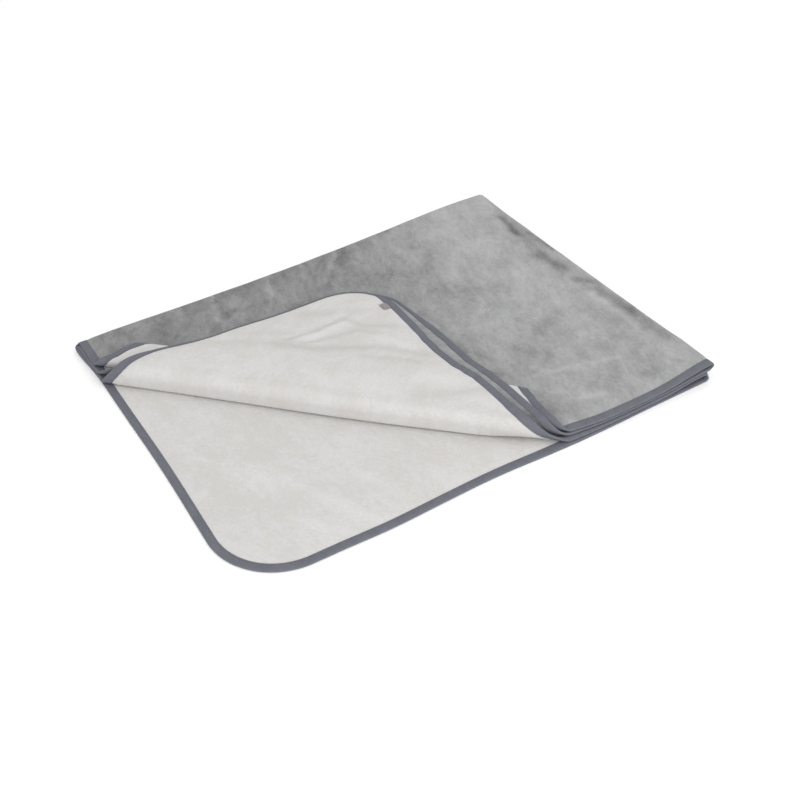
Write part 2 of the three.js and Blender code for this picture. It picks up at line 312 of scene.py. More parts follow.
def edge_roll(ply, p, q, x, y, off):
    """How a turned corner's far edge rolls down: its moves along x, along y and in height."""
    clear = step(x, 130, 80)
    if ply == 2:
        share = step(x, -10, 130) * step(y - x, -110, 80)
    else:
        share = GREY_ROLLS * step(y, 370, 110)
    tight = np.maximum(share, 1e-6) / ROLL_RADIUS
    within = np.maximum(ROLL_WIDTH - inset_of(p, q), 0)
    angle = within * tight
    out = np.sin(angle) / tight - within
    sinks = SINKS_IN + (1 - SINKS_IN) * clear if ply == 2 else SINKS_IN
    drop = sinks * (1 - np.cos(angle)) / tight
    if ply == 2:
        out = out - clear * off * np.sin(angle)
        drop = drop + clear * off * (np.cos(angle) - 1)
    a = np.maximum(np.abs(p) - (HALF_LENGTH - CORNER), 0)
    b = np.maximum(np.abs(q) - (HALF_WIDTH - CORNER), 0)
    size = np.maximum(np.hypot(a, b), 1e-6)
    return out * b / size, out * a / size, drop


print("the far edge rolls through", round(degrees(ROLL_WIDTH / ROLL_RADIUS)), "degrees")

# %% [markdown]
# One function turns a corner back. It measures how far a point lies past the axis, and sends it
# round the bend, or on past it. The widest bend carries the most weight, so its lower half is
# pressed into a flat foot with small round corners, and near the front its tape is spread a
# little. The pulls are eased in along the bend, because cloth doesn't jump.

# %% One corner turned back
FOOT = 5
RAMP = 40
TAPE_SPREADS = 6
PULL_STARTS = 0.35
PULL_SOONER = 0.3


def heavy_foot(angle, off, radius):
    """The lower half of the widest bend, which its own weight presses flat and square."""
    flat = radius - FOOT
    run = angle / (pi / 2) * (2 * flat + FOOT * pi / 2)
    corner = np.clip((run - flat) / FOOT, 0, pi / 2)
    risen = np.clip(run - flat - FOOT * pi / 2, 0, flat)
    out = np.minimum(run, flat) + (FOOT - off) * np.sin(corner)
    return out, flat - risen + (FOOT - off) * np.cos(corner)


def turn_back(ply, p, q, x, y, z):
    """Where a ply's points lie once its corner is turned, and how far past the bend they are."""
    turn = TURNS[ply]
    t = (x - y) / ROOT2
    axis = turn.axis + turn.lean * t
    s = (axis - x - y) / ROOT2
    radius = turn.radius * PITCH
    off = z - level_of(ply)
    angle = np.clip(s / radius, 0, pi)
    arm = radius - off
    past = np.maximum(s - pi * radius, 0)
    swell = 1 + turn.bulge * hump(t, 60, 260)
    if ply == 4:
        laid, height = pleat(past, BAND + BAND_LEAN * t, off, radius)
    else:
        laid, height = -past, TURN_HEIGHT + arm
    bend_out, bend_down = arm * np.sin(angle), arm * np.cos(angle)
    if ply == 2:
        foot_out, foot_down = heavy_foot(angle, off, radius)
        pressed = (angle < pi / 2) * (1 - step(t, 290, 110))
        bend_out = bend_out + pressed * (foot_out - bend_out)
        bend_down = bend_down + pressed * (foot_down - bend_down)
    laid = np.where(past > 0, laid, bend_out * swell)
    height = np.where(past > 0, height, TURN_HEIGHT - bend_down)
    new_x = (axis - ROOT2 * laid + ROOT2 * t) / 2
    new_y = (axis - ROOT2 * laid - ROOT2 * t) / 2

    ramp = step(past, 0, RAMP)
    early = smooth(s / (pi * radius) - PULL_STARTS + PULL_SOONER * step(t, 230, 150))
    roll_x, roll_y, drop = edge_roll(ply, p, q, new_x, new_y, off) if ply < 4 else (0, 0, 0)
    pull_x, pull_y = pulled(ply, new_x, new_y)
    new_x = new_x + early * pull_x
    if ply == 2:
        outer = np.clip(1 - inset_of(p, q) / TAPE_WIDTH, 0, 1)
        new_x = new_x + TAPE_SPREADS * outer * hump(new_y, 55, 45) * step(new_x, 450, 50)
    late = step(s - pi * radius, -30, 80)
    new_y = new_y + (late if ply == 2 else early) * pull_y
    if ply < 4:
        height = height - np.where(past > 0, sunk(turn, new_x, new_y), 0) - ramp * drop
    turned = s > 0
    return (
        np.where(turned, new_x + ramp * roll_x, x),
        np.where(turned, new_y + ramp * roll_y, y),
        np.where(turned, height, z),
        np.where(turned, ramp, 0),
    )


bends = [round(2 * turn.radius * PITCH, 1) for turn in TURNS.values()]
print("the three turned bends are", bends, "mm across")

# %% [markdown]
# ## Creases and ripples
# A blanket out of its pack keeps soft creases. Each is given as a line on the folded blanket,
# in millimetres from its front corner at the loose end, with how far it spreads and how high it
# stands. A ridge only ever lifts the cloth, and a trough is a dip in cloth that is already lifted
# a little, so no ply is pushed into the one under it. The number before each list is its ply.
# Where lines cross, only the highest ridge and the deepest trough count, because a sum of them
# would leave a dimple.

# %% Creases, each given as a line
Crease = namedtuple("Crease", "x0 y0 x1 y1 spread rise")
CREASES = {
    2: [
        (340, 484, 410, 489, 7, -2.4),
        (410, 489, 472, 494, 7, -2.2),
        (472, 494, 496, 451, 7, -1.6),
        (496, 451, 546, 423, 8, -1.6),
        (375, 474, 462, 477, 13, 2.0),
        (365, 457, 424, 446, 7, -1.8),
        (424, 446, 479, 446, 7, -1.8),
        (479, 446, 501, 420, 8, -1.4),
        (105, 614, 221, 551, 11, -0.8),
        (221, 551, 313, 482, 11, -1.2),
        (313, 482, 384, 422, 10, -2.0),
        (384, 422, 457, 387, 10, -2.0),
        (457, 387, 546, 305, 11, -1.6),
        (441, 360, 518, 290, 9, -1.5),
        (410, 553, 456, 532, 12, -1.4),
        (470, 520, 520, 500, 9, -0.9),
        (300, 540, 350, 512, 10, -0.9),
        (471, 202, 519, 175, 12, -1.0),
        (519, 175, 584, 154, 12, -0.9),
        (500, 392, 530, 350, 17, 1.8),
        (505, 240, 548, 205, 20, 1.8),
        (330, 385, 342, 345, 18, 1.0),
        (380, 318, 412, 282, 18, 1.1),
        (553, 137, 582, 99, 18, 1.2),
        (440, 505, 470, 512, 9, 1.0),
    ],
    1: [
        (210, 118, 262, 20, 12, 1.3),
        (150, 96, 200, 30, 14, 1.0),
        (120, 250, 190, 170, 20, 0.9),
        (300, 120, 330, 40, 14, 0.8),
    ],
    4: [
        (977, 640, 965, 560, 10, -1.2),
        (993, 545, 996, 470, 9, -1.0),
        (947, 446, 966, 400, 10, -1.1),
        (984, 285, 984, 225, 9, -0.9),
        (992, 198, 992, 112, 9, -0.9),
        (949, 310, 960, 222, 7, 0.9),
        (690, 172, 860, 127, 8, 0.9),
        (760, 330, 860, 290, 26, 0.8),
        (610, 420, 690, 560, 30, 0.7),
    ],
}
print("creases placed by hand:", sum(len(rows) for rows in CREASES.values()))

# %% Lift the plies that show
CUSHION = {1: 1.2, 2: 2.2, 4: 1.4}
RIPPLE = 1.1
RIPPLE_SIZE = 62
RIPPLE_FINE = 23
FINE_SHARE = 0.5
NOISE_LEVEL = 0.3
WANDER = 14
WANDER_SIZES = (27, 31)
END_FADE = 1.6
TAPE_HOLDS = 70


def along_line(row, x, y):
    """A soft mark along a row's line: 1 on it, 0 away from it, fading past its ends."""
    dx, dy = row.x1 - row.x0, row.y1 - row.y0
    length = np.hypot(dx, dy)
    at = ((x - row.x0) * dx + (y - row.y0) * dy) / length
    side = ((x - row.x0) * dy - (y - row.y0) * dx) / length
    ends = np.maximum(np.maximum(-at, at - length), 0)
    return np.exp(-((side / row.spread) ** 2) - (ends / (END_FADE * row.spread)) ** 2)


def ripple(x, y, size):
    """Even, seedless noise from 0 to 1 over the plan."""
    places = np.stack([x / size, y / size], axis=1)
    return np.array([0.5 + 0.5 * noise.noise(Vector((a, b, NOISE_LEVEL))) for a, b in places])


def wandered(x, y, far, sizes):
    """Places moved about a little, so that a straight line becomes an uneven one."""
    return x + far * (ripple(x, y, sizes[0]) - 0.5), y + far * (ripple(y, x, sizes[1]) - 0.5)


def creased(ply, x, y):
    uneven_x, uneven_y = wandered(x, y, WANDER, WANDER_SIZES)
    ridge, trough = np.zeros(len(x)), np.zeros(len(x))
    for row in CREASES[ply]:
        crease = Crease(*row)
        here = crease.rise * along_line(crease, uneven_x, uneven_y)
        ridge, trough = np.maximum(ridge, here), np.minimum(trough, here)
    return ridge + trough


def lifted(ply, x, y, inset):
    waves = ripple(x, y, RIPPLE_SIZE) + FINE_SHARE * ripple(x, y, RIPPLE_FINE)
    rise = CUSHION[ply] + RIPPLE * waves + creased(ply, x, y)
    return np.maximum(rise, 0) * step(inset, TAPE_WIDTH, TAPE_HOLDS)


most = max(CUSHION.values()) + (1 + FINE_SHARE) * RIPPLE
print("a ply that shows is lifted by up to", round(most, 1), "mm, apart from its creases")

# %% [markdown]
# ## Small sways
# The folded stack isn't square. Its edges bow in and out by a few millimetres, the lower plies
# jut out under the others, and the upper ones stand out and up at the right front corner. Each
# move depends only on where a point lies, not on its ply, and changes slowly from place to
# place. So neighbouring plies move together, and none can pass through another.

# %% Sway the folded stack
STACK_HEIGHT = 26
HIGH_MOST = 1.6
TIP_FADES = 70
TIP_OUT = 2
TIP_OUT_UPPER = 11
TIP_UP = 4
FRONT_SET_BACK = 11
FRONT_WAVE = 3
LOW_JUTS = 2.5
LOW_JUTS_MIDDLE = 6
LOW_JUTS_RIGHT = 2
FOLD_BOWS = 3.5
FOLD_WORN = 3
FOLD_FLATTER = 0.03
LEFT_BOWS = 4
LEFT_JUTS = 9


def sway(x, y, z):
    """Small moves of the folded blanket, in millimetres."""
    front = hump(y, 0, 150)
    high = np.clip(z / STACK_HEIGHT, 0, HIGH_MOST)
    upper = step(z, 12, 14)
    near_tip = np.exp(-np.maximum(y, 0) / TIP_FADES) * step(x, 860, 140)
    x = x + (TIP_OUT + TIP_OUT_UPPER * upper) * near_tip
    set_back = high * FRONT_SET_BACK * hump(x, 645, 75) * hump(y, 0, 80)
    wave = FRONT_WAVE * (hump(x, 520, 120) - hump(x, 250, 110) - step(x, 620, 120))
    low = (1 - step(z, 4, 9)) * step(x, 180, 120)
    juts = LOW_JUTS + LOW_JUTS_MIDDLE * hump(x, 640, 110) + LOW_JUTS_RIGHT * step(x, 700, 100)
    y = y + set_back + (wave - low * juts) * front
    at_fold = step(x, 700, 250)
    worn = at_fold * hump(y, 670, 100)
    x = x + at_fold * FOLD_BOWS * hump(y, 150, 230) - FOLD_WORN * worn
    at_left = 1 - step(x, 0, 120)
    lowest = 1 - step(z, 8, 12)
    x = x + (LEFT_BOWS * hump(y, 330, 170) - LEFT_JUTS * lowest * hump(y, 740, 75)) * at_left
    return x, y, z * (1 - FOLD_FLATTER * worn) + TIP_UP * upper * near_tip


left = sway(np.array([0.0]), np.array([740.0]), np.array([1.0]))
print("the lowest ply's left corner juts out by", round(-float(left[0][0]), 1), "mm")

# %% [markdown]
# ## The whole fold as one function
# fold takes points of the open blanket and gives where they lie. Every piece of the blanket goes
# through it, so the tape, its stitches and the label follow the cloth exactly. The plies lie from
# the floor up: 1 white side up, 2 white side down, 3 white side up and 4 white side down. Only
# plies that nothing lies on are lifted by the creases.

# %% From the open blanket to the folded one
FOLDED_MIDDLE = (503.5, 379.13)
MM = 0.001
LOWEST_BARE = 640
TOP_BARE = 690
BARE_OVER = 60


def ply_of(p, q):
    return np.where(q >= 0, np.where(p >= 0, 1, 2), np.where(p >= 0, 4, 3))


def fold(points):
    """Open blanket (p, q, w) in millimetres to the folded blanket's (x, y, z) in metres."""
    p, q, w = np.asarray(points, dtype=float).T
    ply = ply_of(p, q)
    x, y, z = halve_twice(p, q, w - MIDDLE)
    on_top = np.where(ply == 1, smooth((LOWEST_BARE - x - y) / BARE_OVER), 0)
    for number in TURNS:
        mine = ply == number
        x[mine], y[mine], z[mine], ramp = turn_back(
            number, p[mine], q[mine], x[mine], y[mine], z[mine]
        )
        if number == 2:
            on_top[mine] = ramp
        if number == 4:
            bare = step(x[mine] + y[mine], TOP_BARE, BARE_OVER)
            on_top[mine] = (ramp == 0) * bare
    for number in CREASES:
        shows = (ply == number) & (on_top > 0)
        inset = inset_of(p[shows], q[shows])
        z[shows] += on_top[shows] * lifted(number, x[shows], y[shows], inset)
    x, y, z = sway(x, y, z)
    return np.stack([x - FOLDED_MIDDLE[0], y - FOLDED_MIDDLE[1], z], axis=1) * MM


tip = fold([[-960, 710, 0]])[0]
print("the white corner's tip lies at", [round(float(v), 3) for v in tip], "m")

# %% [markdown]
# ## A panel of cloth
# A real panel is cut from the roll with a round corner. Here it starts as a grid, four corners
# are trimmed by cutting planes that touch the corner's arc, and the part that will show is
# divided finer. Rows of cuts are then added where it will bend, as a paper model is scored,
# close together where the bend is tight.

# %% Lay out a flat panel
CELL = 12.5
CORNER_CUTS = 12
SNAP = 0.4
CLOTH_INSET = 1.8


def once(items):
    """Each item once, in an order that stays the same in every run, as a set's doesn't."""
    return list(dict.fromkeys(items))


def face_parts(faces):
    edges = once(edge for face in faces for edge in face.edges)
    verts = once(vert for face in faces for vert in face.verts)
    return [*faces, *edges, *verts]


def cut(bm, faces, place, normal, keep_all=True):
    bmesh.ops.bisect_plane(
        bm,
        geom=face_parts(faces),
        dist=SNAP,
        plane_co=(place[0], place[1], 0),
        plane_no=(normal[0], normal[1], 0),
        clear_outer=not keep_all,
    )


def in_corner(face, centre, sign_p, sign_q):
    middle = face.calc_center_median()
    beyond_p = sign_p * (middle.x - centre[0]) > -CELL
    return beyond_p and sign_q * (middle.y - centre[1]) > -CELL


def flat_panel(edge):
    """A grid with round corners, in by edge from the blanket's own outline."""
    bm = bmesh.new()
    size = Matrix.Diagonal((HALF_LENGTH - edge, HALF_WIDTH - edge, 1, 1))
    columns = round(2 * HALF_LENGTH / CELL)
    rows = round(2 * HALF_WIDTH / CELL)
    bmesh.ops.create_grid(bm, x_segments=columns, y_segments=rows, size=1, matrix=size)
    radius = CORNER - edge
    for sign_p in (1, -1):
        for sign_q in (1, -1):
            centre = (sign_p * (HALF_LENGTH - CORNER), sign_q * (HALF_WIDTH - CORNER))
            for i in range(CORNER_CUTS):
                angle = (i + 0.5) / CORNER_CUTS * pi / 2
                out = (sign_p * cos(angle), sign_q * sin(angle))
                touch = (centre[0] + radius * out[0], centre[1] + radius * out[1])
                faces = [f for f in bm.faces if in_corner(f, centre, sign_p, sign_q)]
                cut(bm, faces, touch, out, keep_all=False)
    return bm


panel = flat_panel(CLOTH_INSET)
print("the flat panel has", len(panel.faces), "faces")

# %% Divide what will show
LOWEST_SHOWS = 660
TURNED_SHOWS = 600
TOP_SHOWS = 640


def is_seen(p, q):
    """True on the quarters' parts that show: the white corners and the grey top."""
    x, y = HALF_LENGTH - abs(p), HALF_WIDTH - abs(q)
    ply = int(ply_of(p, q))
    if ply == 4:
        return x + y > TOP_SHOWS
    if ply == 3:
        return False
    return x + y < (TURNED_SHOWS if ply == 2 else LOWEST_SHOWS)


def divide_seen(bm):
    faces = [f for f in bm.faces if is_seen(*f.calc_center_median().xy)]
    edges = once(edge for face in faces for edge in face.edges)
    bmesh.ops.subdivide_edges(bm, edges=edges, cuts=1, use_grid_fill=True)


divide_seen(panel)
print("with what will show divided finer, it has", len(panel.faces))


# %% Score the panel where it bends
HALF_CUTS = 6
NEAR_CUT = 1.5 * CELL
FOOT_CUTS = [0, 0.1, 0.2, 0.225, 0.25, 0.275, 0.3, 0.4, 0.5, 0.57, 0.64, 0.71, 0.78, 0.85, 0.92, 1]


def straight_cuts():
    for i in range(-HALF_CUTS, HALF_CUTS + 1):
        yield (FIRST_HALF * i / HALF_CUTS, 0), (1, 0), None
        yield (0, SECOND_HALF * i / HALF_CUTS), (0, 1), None


def turn_cuts(ply):
    """A turn's bends as lines of the open cloth, each with a place and a normal."""
    turn = TURNS[ply]
    arc = pi * turn.radius * PITCH
    shares = FOOT_CUTS if ply == 2 else [i / turn.bends for i in range(turn.bends + 1)]
    stations = [(arc * share, 0) for share in shares]
    if ply == 4:
        small = pi * PITCH / 2
        first = arc + BAND
        second = first + small + BAND - SET_BACK
        for i in range(HALF_CUTS + 1):
            stations.append((first + small * i / HALF_CUTS, BAND_LEAN))
            stations.append((second + small * i / HALF_CUTS, 2 * BAND_LEAN))
    sign_p = 1 if ply == 4 else -1
    sign_q = 1 if ply == 2 else -1
    for s, lean in stations:
        k = turn.lean / ROOT2 - lean
        normal = (sign_p * (1 - k), sign_q * (1 + k))
        reach = (1 - k) * HALF_LENGTH + (1 + k) * HALF_WIDTH - turn.axis + ROOT2 * s
        scale = reach / (normal[0] ** 2 + normal[1] ** 2)
        yield (normal[0] * scale, normal[1] * scale), normal, ply


def score(bm):
    cuts = [*straight_cuts(), *(row for ply in TURNS for row in turn_cuts(ply))]
    for place, normal, ply in cuts:
        length = np.hypot(*normal)
        near = []
        for face in bm.faces:
            p, q = face.calc_center_median().xy
            away = ((p - place[0]) * normal[0] + (q - place[1]) * normal[1]) / length
            if abs(away) < NEAR_CUT and (ply is None or ply_of(p, q) == ply):
                near.append(face)
        cut(bm, near, place, normal)
    print(f"scored along {len(cuts)} lines, {len(bm.faces)} faces")


score(panel)

# %% [markdown]
# ## From panel to folded cloth
# The flat panel gets its thickness while it is still flat, which is simple and exact. Its outer
# face is pressed thin under the tape, as pile is by a sewing foot. Its flat coordinates are kept
# as a UV map before it is folded, so pile and weave follow the cloth round every bend.

# %% Thicken, press, keep the UV map and fold
PRESS = 1.45
PRESS_OVER = 9
TOUCH = 0.01
SORTED_ALONG = Vector((1, ROOT2, pi))


def thicken(bm, inner, outer):
    bmesh.ops.solidify(bm, geom=bm.faces[:], thickness=abs(outer - inner))
    heights = [vert.co.z for vert in bm.verts]
    halfway = (max(heights) + min(heights)) / 2
    low, high = min(inner, outer), max(inner, outer)
    for vert in bm.verts:
        vert.co.z = high if vert.co.z > halfway else low
    bmesh.ops.recalc_face_normals(bm, faces=bm.faces[:])


def add_object(name, data):
    item = bpy.data.objects.new(name, data)
    bpy.context.collection.objects.link(item)
    return item


def sort_faces(bm):
    """The same order of faces in every run, because solidify leaves its rim's to chance."""
    ranked = sorted(bm.faces, key=lambda face: face.calc_center_median().dot(SORTED_ALONG))
    rank = {face: number for number, face in enumerate(ranked)}
    bm.faces.sort(key=rank.get)


def folded_object(bm, name):
    """Folds a flat mesh, and keeps its flat coordinates as the UV map named cloth."""
    sort_faces(bm)
    bm.verts.index_update()
    flat = np.array([vert.co[:] for vert in bm.verts])
    for vert, place in zip(bm.verts, fold(flat)):
        vert.co = place
    mesh = bpy.data.meshes.new(name)
    bm.to_mesh(mesh)
    bm.free()
    mesh.shade_smooth()
    corners = np.empty(len(mesh.loops), dtype=np.int32)
    mesh.loops.foreach_get("vertex_index", corners)
    uv = mesh.uv_layers.new(name="cloth")
    uv.data.foreach_set("uv", (flat[corners, :2] * MM).ravel())
    mesh.calc_loop_triangles()
    print(name, "has", len(mesh.loop_triangles), "triangles")
    return add_object(name, mesh), flat


def folded_ribbon(bm, thickness, name):
    bmesh.ops.solidify(bm, geom=bm.faces[:], thickness=thickness)
    bmesh.ops.recalc_face_normals(bm, faces=bm.faces[:])
    return folded_object(bm, name)[0]


def cloth(name, panel, inner, outer):
    """One folded cloth, from its inner face at the seam to its outer one."""
    bm = panel.copy()
    thicken(bm, inner, outer)
    for vert in bm.verts:
        if abs(vert.co.z - outer) < TOUCH:
            inset = inset_of(vert.co.x, vert.co.y)
            pressed = PRESS * (1 - step(inset, TAPE_WIDTH, PRESS_OVER))
            vert.co.z -= np.sign(outer) * pressed
    return folded_object(bm, name)


grey, grey_flat = cloth("grey_fleece_panel", panel, -SEAM / 2, GREY_SIDE)
white, white_flat = cloth("white_sherpa_panel", panel, SEAM / 2, WHITE_SIDE)
panel.free()

# %% [markdown]
# ## The edge tape
# The tape is a woven ribbon, folded over the raw edge of both cloths. It starts as a long grid:
# its columns run round the blanket, and its rows run across the ribbon, from one leg over the
# edge to the other leg. The rows stand close together where the stitches draw the tape in.

# %% Round the outline and over the edge
TAPE_THICK = 0.6
TAPE_LOW = 0.35
STITCH_INSET = 13
NOSE = 2
STITCH_DRAWS = 0.32
STITCH_DRAWS_OVER = 1.1
RIM_DRAWS = 0.25
RIM_FROM = 15.2
centre_p = HALF_LENGTH - CORNER
centre_q = HALF_WIDTH - CORNER
side_runs = [2 * centre_q, CORNER * pi / 2, 2 * centre_p, CORNER * pi / 2] * 2
RUN = np.concatenate([[0], np.cumsum(side_runs)])
CENTRE_P = centre_p * np.array([1, 1, 1, -1, -1, -1, -1, 1, 1])
CENTRE_Q = centre_q * np.array([-1, 1, 1, 1, 1, -1, -1, -1, -1])
FACING = pi / 2 * np.array([0, 0, 1, 1, 2, 2, 3, 3, 4])


def round_outline(run, inset):
    """The point of the open blanket at a run round its outline, and in by inset."""
    angle = np.interp(run, RUN, FACING)
    reach = CORNER - inset
    p = np.interp(run, RUN, CENTRE_P) + reach * np.cos(angle)
    return p, np.interp(run, RUN, CENTRE_Q) + reach * np.sin(angle)


def tape_half(inset):
    """Half the tape's height at an inset, drawn in at the stitches and at its inner edge."""
    drawn = STITCH_DRAWS * hump(inset, STITCH_INSET, STITCH_DRAWS_OVER)
    drawn = drawn + RIM_DRAWS * step(inset, RIM_FROM, TAPE_WIDTH - RIM_FROM)
    return HALF_PLY - TAPE_LOW - drawn


print("the outline is", round(float(RUN[-1])), "mm round")

# %% Make the tape
TAPE_COLUMNS = 2400
LEG = [TAPE_WIDTH, 14.4, STITCH_INSET, 11.6, 7, NOSE]
NOSE_ROWS = 4


def make_tape():
    bm = bmesh.new()
    rows = 2 * (len(LEG) - 1) + NOSE_ROWS
    bmesh.ops.create_grid(bm, x_segments=TAPE_COLUMNS, y_segments=rows, size=1)
    grid = np.array([vert.co[:] for vert in bm.verts])
    run = (grid[:, 0] + 1) / 2 * RUN[-1]
    row = (grid[:, 1] + 1) / 2 * rows
    knots = np.arange(rows + 1)
    leg = np.interp(row, knots, [*LEG, *[NOSE] * (NOSE_ROWS - 1), *reversed(LEG)])
    angle = np.clip((row - len(LEG) + 1) / NOSE_ROWS, 0, 1) * pi
    p, q = round_outline(run, leg - NOSE * np.sin(angle))
    w = MIDDLE + tape_half(leg) * np.cos(angle)
    for vert, place in zip(bm.verts, np.stack([p, q, w], axis=1)):
        vert.co = place
    bmesh.ops.remove_doubles(bm, verts=bm.verts[:], dist=TOUCH)
    bmesh.ops.recalc_face_normals(bm, faces=bm.faces[:])
    return folded_ribbon(bm, TAPE_THICK, "edge_tape_ribbon")


tape = make_tape()

# %% [markdown]
# ## The stitches
# One seam goes through the tape and both cloths, so it shows on both faces. A stitch is a small
# ball drawn long. The row starts as one pair of stitches and is copied beside itself until it is
# long enough, which is far quicker than one copy at a time. The same two functions then carry it
# round the outline and through the folds.

# %% Sew the tape on
STITCH_DOUBLINGS = 11
STITCH_LENGTH = 2.4
STITCH_THICK = 0.55
STITCH_STANDS = 0.2


def make_stitches():
    bm = bmesh.new()
    count = 2**STITCH_DOUBLINGS
    apart = RUN[-1] / count
    lies = tape_half(STITCH_INSET) + STITCH_THICK * STITCH_STANDS
    shape = Matrix.Diagonal((STITCH_LENGTH / 2, STITCH_THICK / 2, STITCH_THICK / 2, 1))
    for side in (1, -1):
        place = Matrix.Translation((apart / 2, 0, MIDDLE + side * lies))
        bmesh.ops.create_icosphere(bm, subdivisions=1, radius=1, matrix=place @ shape)
    for doubling in range(STITCH_DOUBLINGS):
        row = bmesh.ops.duplicate(bm, geom=bm.verts[:] + bm.edges[:] + bm.faces[:])["geom"]
        verts = [item for item in row if isinstance(item, bmesh.types.BMVert)]
        bmesh.ops.translate(bm, verts=verts, vec=(apart * 2**doubling, 0, 0))
    for vert in bm.verts:
        vert.co.x, vert.co.y = round_outline(vert.co.x, STITCH_INSET + vert.co.y)
    print(count, "stitches on each face,", round(apart, 2), "mm apart")
    return folded_object(bm, "tape_stitches")[0]


stitches = make_stitches()

# %% [markdown]
# ## The label
# A small blank ribbon is folded double and caught beside the tape at the turned-back corner.
# It starts as a grid too: its rows run out along the lower layer, round the fold at its end and
# back along the upper layer.

# %% Make the label
LABEL_FROM = radians(78.5)
LABEL_TO = radians(89.5)
LABEL_REACH = 15.5
LABEL_THICK = 0.22
LABEL_LIES = 0.45
LABEL_GAP = 0.4
LABEL_BEND = 0.15
LABEL_CURL = 1.4


def make_label():
    bm = bmesh.new()
    inner_reach = CORNER - TAPE_WIDTH - LABEL_GAP
    bmesh.ops.create_grid(bm, x_segments=12, y_segments=20, size=1)
    for vert in bm.verts:
        angle = LABEL_FROM + (LABEL_TO - LABEL_FROM) * (vert.co.x + 1) / 2
        layer = vert.co.y
        out = LABEL_REACH * min((1 - abs(layer)) / (1 - LABEL_BEND), 1)
        turn = np.clip(layer / LABEL_BEND, -1, 1) * pi / 2
        reach = inner_reach - out - LABEL_GAP * cos(turn) * (abs(layer) < LABEL_BEND)
        curl = LABEL_CURL * smooth(out / LABEL_REACH) ** 2
        lies = WHITE_SIDE + LABEL_LIES + LABEL_GAP * (1 + sin(turn)) + curl
        vert.co.x = -(HALF_LENGTH - CORNER) - reach * cos(angle)
        vert.co.y = HALF_WIDTH - CORNER + reach * sin(angle)
        vert.co.z = lies
    return folded_ribbon(bm, LABEL_THICK, "blank_label")


label = make_label()

# %% [markdown]
# ## Nap and painted shading on the grey fleece
# Brushed fleece looks darker where its nap leans one way, and lighter where it leans the other.
# This one is darker towards the loose end, with short dark and light marks where it was pressed
# or stroked. Along the top ply's creases the marks are partly crushed pile and partly painted
# shade in the troughs, and painted highlight on the ridges. Beside the turned grey corner's tape
# they are painted shade. Noise alone can't put them in the right places, so each mark is a line
# too, placed like the creases. They go into an attribute of the mesh, a number at each point that
# the material reads.

# %% Marks in the nap and painted shading, one line each
NapAndShadingMark = namedtuple("NapAndShadingMark", "x0 y0 x1 y1 spread shade")
NAP_AND_SHADING_MARKS = [
    (612, 605, 665, 572, 34, -0.12),
    (690, 565, 640, 515, 27, -0.08),
    (690, 505, 765, 462, 22, -0.11),
    (230, 722, 560, 722, 24, -0.07),
    (150, 650, 260, 640, 20, 0.05),
    (300, 650, 420, 635, 15, 0.08),
    (480, 652, 590, 640, 20, 0.05),
    (283, 653, 306, 661, 8, -0.24),
    (333, 654, 344, 660, 7, -0.24),
    (352, 642, 374, 652, 8, -0.22),
    (243, 622, 252, 642, 9, -0.14),
    (512, 636, 538, 664, 9, -0.2),
    (152, 695, 140, 650, 15, -0.15),
    (80, 738, 94, 695, 9, -0.12),
    (535, 670, 602, 752, 5, 0.24),
    (396, 670, 420, 748, 5, 0.22),
    (262, 650, 292, 748, 5, 0.2),
    (198, 680, 218, 746, 5, 0.16),
    (482, 690, 506, 746, 5, 0.17),
    (575, 690, 606, 735, 9, -0.14),
    (715, 735, 748, 746, 10, -0.24),
    (700, 690, 712, 620, 8, 0.05),
    (730, 700, 745, 600, 9, -0.05),
    (915, 705, 990, 690, 34, 0.06),
    # The next nine lie along the top ply's creases near the fold at the right: dark in the
    # troughs, partly crushed pile and partly painted shade, and light on the ridges, a painted
    # highlight.
    (968, 628, 958, 562, 8, -0.5),
    (984, 545, 988, 474, 9, -0.36),
    (950, 455, 962, 405, 14, -0.34),
    (962, 560, 955, 470, 15, -0.15),
    (965, 345, 982, 328, 12, -0.32),
    (975, 292, 980, 222, 15, -0.3),
    (980, 205, 980, 110, 15, -0.26),
    (945, 370, 952, 300, 6, 0.08),
    (949, 306, 959, 226, 6, 0.18),
    # The next three lie along the crease ridge from x 690 to 860 near the front: painted highlight
    # on it and painted shade beside it.
    (705, 165, 760, 152, 6, 0.13),
    (760, 152, 870, 122, 7, 0.15),
    (695, 170, 770, 192, 5, -0.12),
    (735, 66, 772, 56, 10, 0.22),
    (650, 85, 680, 60, 18, -0.18),
    (880, 55, 905, 50, 13, -0.14),
    (700, 30, 722, 62, 11, -0.16),
    (845, 95, 800, 60, 14, -0.13),
    (670, 108, 672, 126, 8, -0.14),
    # The next four are painted shade on the top ply beside the turned grey corner's tape.
    (628, 440, 640, 380, 9, -0.14),
    (632, 322, 628, 300, 8, -0.18),
    (650, 272, 662, 250, 8, -0.16),
    (640, 214, 652, 200, 9, -0.14),
    (850, 640, 890, 330, 62, 0.1),
    (620, 640, 640, 560, 50, 0.07),
    (420, 720, 620, 715, 40, -0.04),
    (715, 255, 762, 212, 17, -0.13),
    (800, 270, 855, 292, 15, -0.12),
    (928, 250, 936, 200, 16, -0.1),
]
print("marks in the nap:", len(NAP_AND_SHADING_MARKS))

# %% Write the nap and painted shading attribute
NAP_LOOSE_END = 0.44
NAP_LIGHTENS = 0.28
NAP_SLANT = 0.25
STRIP_PAINTED_SHADE = 0.45
NAP_WANDER = 11
NAP_WANDER_SIZES = (23, 27)


def plan_of(piece):
    """Where a piece's points lie on the folded blanket, in millimetres."""
    places = np.empty(3 * len(piece.data.vertices))
    piece.data.vertices.foreach_get("co", places)
    places = places.reshape(-1, 3) / MM
    return places[:, 0] + FOLDED_MIDDLE[0], places[:, 1] + FOLDED_MIDDLE[1]


def write_attribute(piece, name, values):
    attribute = piece.data.attributes.new(name, "FLOAT", "POINT")
    attribute.data.foreach_set("value", np.asarray(values, dtype=np.float32))
    low, high = round(float(values.min()), 2), round(float(values.max()), 2)
    print(piece.name, name, "from", low, "to", high)


